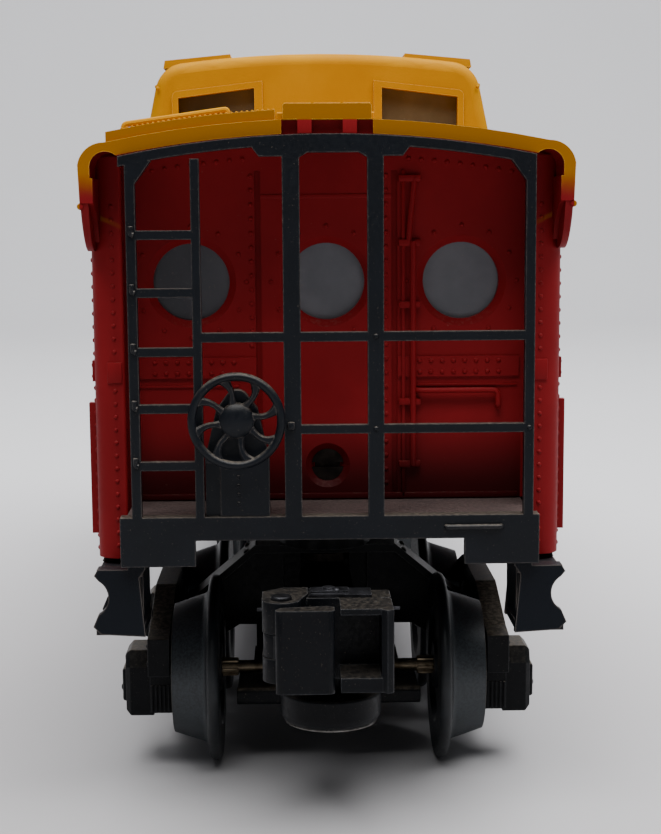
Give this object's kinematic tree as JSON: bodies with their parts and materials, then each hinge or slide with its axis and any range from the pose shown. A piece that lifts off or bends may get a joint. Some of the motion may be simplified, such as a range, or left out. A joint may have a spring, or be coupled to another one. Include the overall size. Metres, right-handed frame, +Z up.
{
  "type": "model caboose",
  "caption": "Model railway caboose with porthole windows, cupola, ladders, swivelling trucks and knuckle couplers.",
  "frame": {"origin": "bottom centre of the whole object: track centre line, middle of the car, level with the wheel flange tips", "axes": "+Y along the car, +Z up, +X to the right seen from the front end (-Y)"},
  "size_m": [0.0556, 0.2132, 0.0917],
  "materials": {
    "shell_paint": "satin deep red sides and golden yellow roof",
    "black_plastic": "satin",
    "milky_plastic": "translucent satin",
    "frame_steel": "satin black",
    "deck_dust": "dusty black",
    "wheel_iron": "worn",
    "axle_steel": "tarnished",
    "bright_steel": "worn",
    "brass": "tarnished",
    "lamp_glass": "clear"
  },
  "bodies": {
    "car": {"body_shell": "shell_paint", "glazing_left": "milky_plastic", "glazing_right": "milky_plastic", "glazing_front": "milky_plastic", "glazing_rear": "milky_plastic", "cupola_glazing": "milky_plastic", "underframe": "frame_steel", "body_screws": "bright_steel", "lamp_bracket": "frame_steel", "lamp_socket": "brass", "lamp_bulb": "lamp_glass", "platform_front": "deck_dust", "end_railing_front": "black_plastic", "brake_stand_front": "black_plastic", "truck_pivot_front": "bright_steel", "platform_rear": "deck_dust", "end_railing_rear": "black_plastic", "brake_stand_rear": "black_plastic", "truck_pivot_rear": "bright_steel"},
    "brake_wheel_front": {"brake_wheel_front": "black_plastic"},
    "truck_front": {"truck_bolster_front": "frame_steel", "bottom_plate_front": "frame_steel", "coupler_head_front": "frame_steel", "coupler_plate_front": "bright_steel", "knuckle_pin_front": "bright_steel", "side_frame_front_left": "frame_steel", "side_frame_front_right": "frame_steel", "pickup_hanger": "brass", "pickup_pin": "bright_steel"},
    "knuckle_front": {"knuckle_front": "frame_steel"},
    "uncoupling_disc_front": {"uncoupling_disc_front": "bright_steel"},
    "brake_wheel_rear": {"brake_wheel_rear": "black_plastic"},
    "truck_rear": {"truck_bolster_rear": "frame_steel", "bottom_plate_rear": "frame_steel", "coupler_head_rear": "frame_steel", "coupler_plate_rear": "bright_steel", "knuckle_pin_rear": "bright_steel", "side_frame_rear_left": "frame_steel", "side_frame_rear_right": "frame_steel"},
    "knuckle_rear": {"knuckle_rear": "frame_steel"},
    "uncoupling_disc_rear": {"uncoupling_disc_rear": "bright_steel"},
    "wheelset_1": {"axle_1": "axle_steel", "wheel_1_left": "wheel_iron", "wheel_1_right": "wheel_iron"},
    "wheelset_2": {"axle_2": "axle_steel", "wheel_2_left": "wheel_iron", "wheel_2_right": "wheel_iron"},
    "wheelset_3": {"axle_3": "axle_steel", "wheel_3_left": "wheel_iron", "wheel_3_right": "wheel_iron"},
    "wheelset_4": {"axle_4": "axle_steel", "wheel_4_left": "wheel_iron", "wheel_4_right": "wheel_iron"},
    "pickup_arm": {"pickup_arm": "bright_steel"},
    "pickup_roller": {"pickup_roller": "brass"}
  },
  "joints": [
    {"name": "brake_wheel_front_turn", "type": "hinge", "parent": "car", "child": "brake_wheel_front", "pos_m": [-0.01025, -0.095, 0.0455], "axis": [0, 1, 0], "continuous": true},
    {"name": "truck_front_swivel", "type": "hinge", "parent": "car", "child": "truck_front", "pos_m": [0, -0.058, 0.03], "axis": [0, 0, 1], "range_deg": [-16, 16]},
    {"name": "knuckle_front_open", "type": "hinge", "parent": "truck_front", "child": "knuckle_front", "pos_m": [-0.0055, -0.1025, 0.0219], "axis": [0, 0, -1], "range_deg": [0, 38]},
    {"name": "uncoupling_disc_front_drop", "type": "slide", "parent": "truck_front", "child": "uncoupling_disc_front", "axis": [0, 0, -1], "range_m": [0, 0.0015], "stiffness_N_per_m": 40, "springref_m": -0.002},
    {"name": "brake_wheel_rear_turn", "type": "hinge", "parent": "car", "child": "brake_wheel_rear", "pos_m": [0.01025, 0.095, 0.0455], "axis": [0, 1, 0], "continuous": true},
    {"name": "truck_rear_swivel", "type": "hinge", "parent": "car", "child": "truck_rear", "pos_m": [0, 0.058, 0.03], "axis": [0, 0, 1], "range_deg": [-16, 16]},
    {"name": "knuckle_rear_open", "type": "hinge", "parent": "truck_rear", "child": "knuckle_rear", "pos_m": [0.0055, 0.1025, 0.0219], "axis": [0, 0, -1], "range_deg": [0, 38]},
    {"name": "uncoupling_disc_rear_drop", "type": "slide", "parent": "truck_rear", "child": "uncoupling_disc_rear", "axis": [0, 0, -1], "range_m": [0, 0.0015], "stiffness_N_per_m": 40, "springref_m": -0.002},
    {"name": "wheelset_1_roll", "type": "hinge", "parent": "truck_front", "child": "wheelset_1", "pos_m": [0, -0.074, 0.01162], "axis": [1, 0, 0], "continuous": true},
    {"name": "wheelset_2_roll", "type": "hinge", "parent": "truck_front", "child": "wheelset_2", "pos_m": [0, -0.042, 0.01162], "axis": [1, 0, 0], "continuous": true},
    {"name": "wheelset_3_roll", "type": "hinge", "parent": "truck_rear", "child": "wheelset_3", "pos_m": [0, 0.042, 0.01162], "axis": [1, 0, 0], "continuous": true},
    {"name": "wheelset_4_roll", "type": "hinge", "parent": "truck_rear", "child": "wheelset_4", "pos_m": [0, 0.074, 0.01162], "axis": [1, 0, 0], "continuous": true},
    {"name": "pickup_arm_lift", "type": "hinge", "parent": "truck_front", "child": "pickup_arm", "pos_m": [0, -0.0534, 0.0119], "axis": [1, 0, 0], "range_deg": [0, 9], "stiffness_Nm_per_rad": 0.0008, "springref_deg": -17.19},
    {"name": "pickup_roller_roll", "type": "hinge", "parent": "pickup_arm", "child": "pickup_roller", "pos_m": [0, -0.049, 0.0049], "axis": [1, 0, 0], "continuous": true}
  ]
}
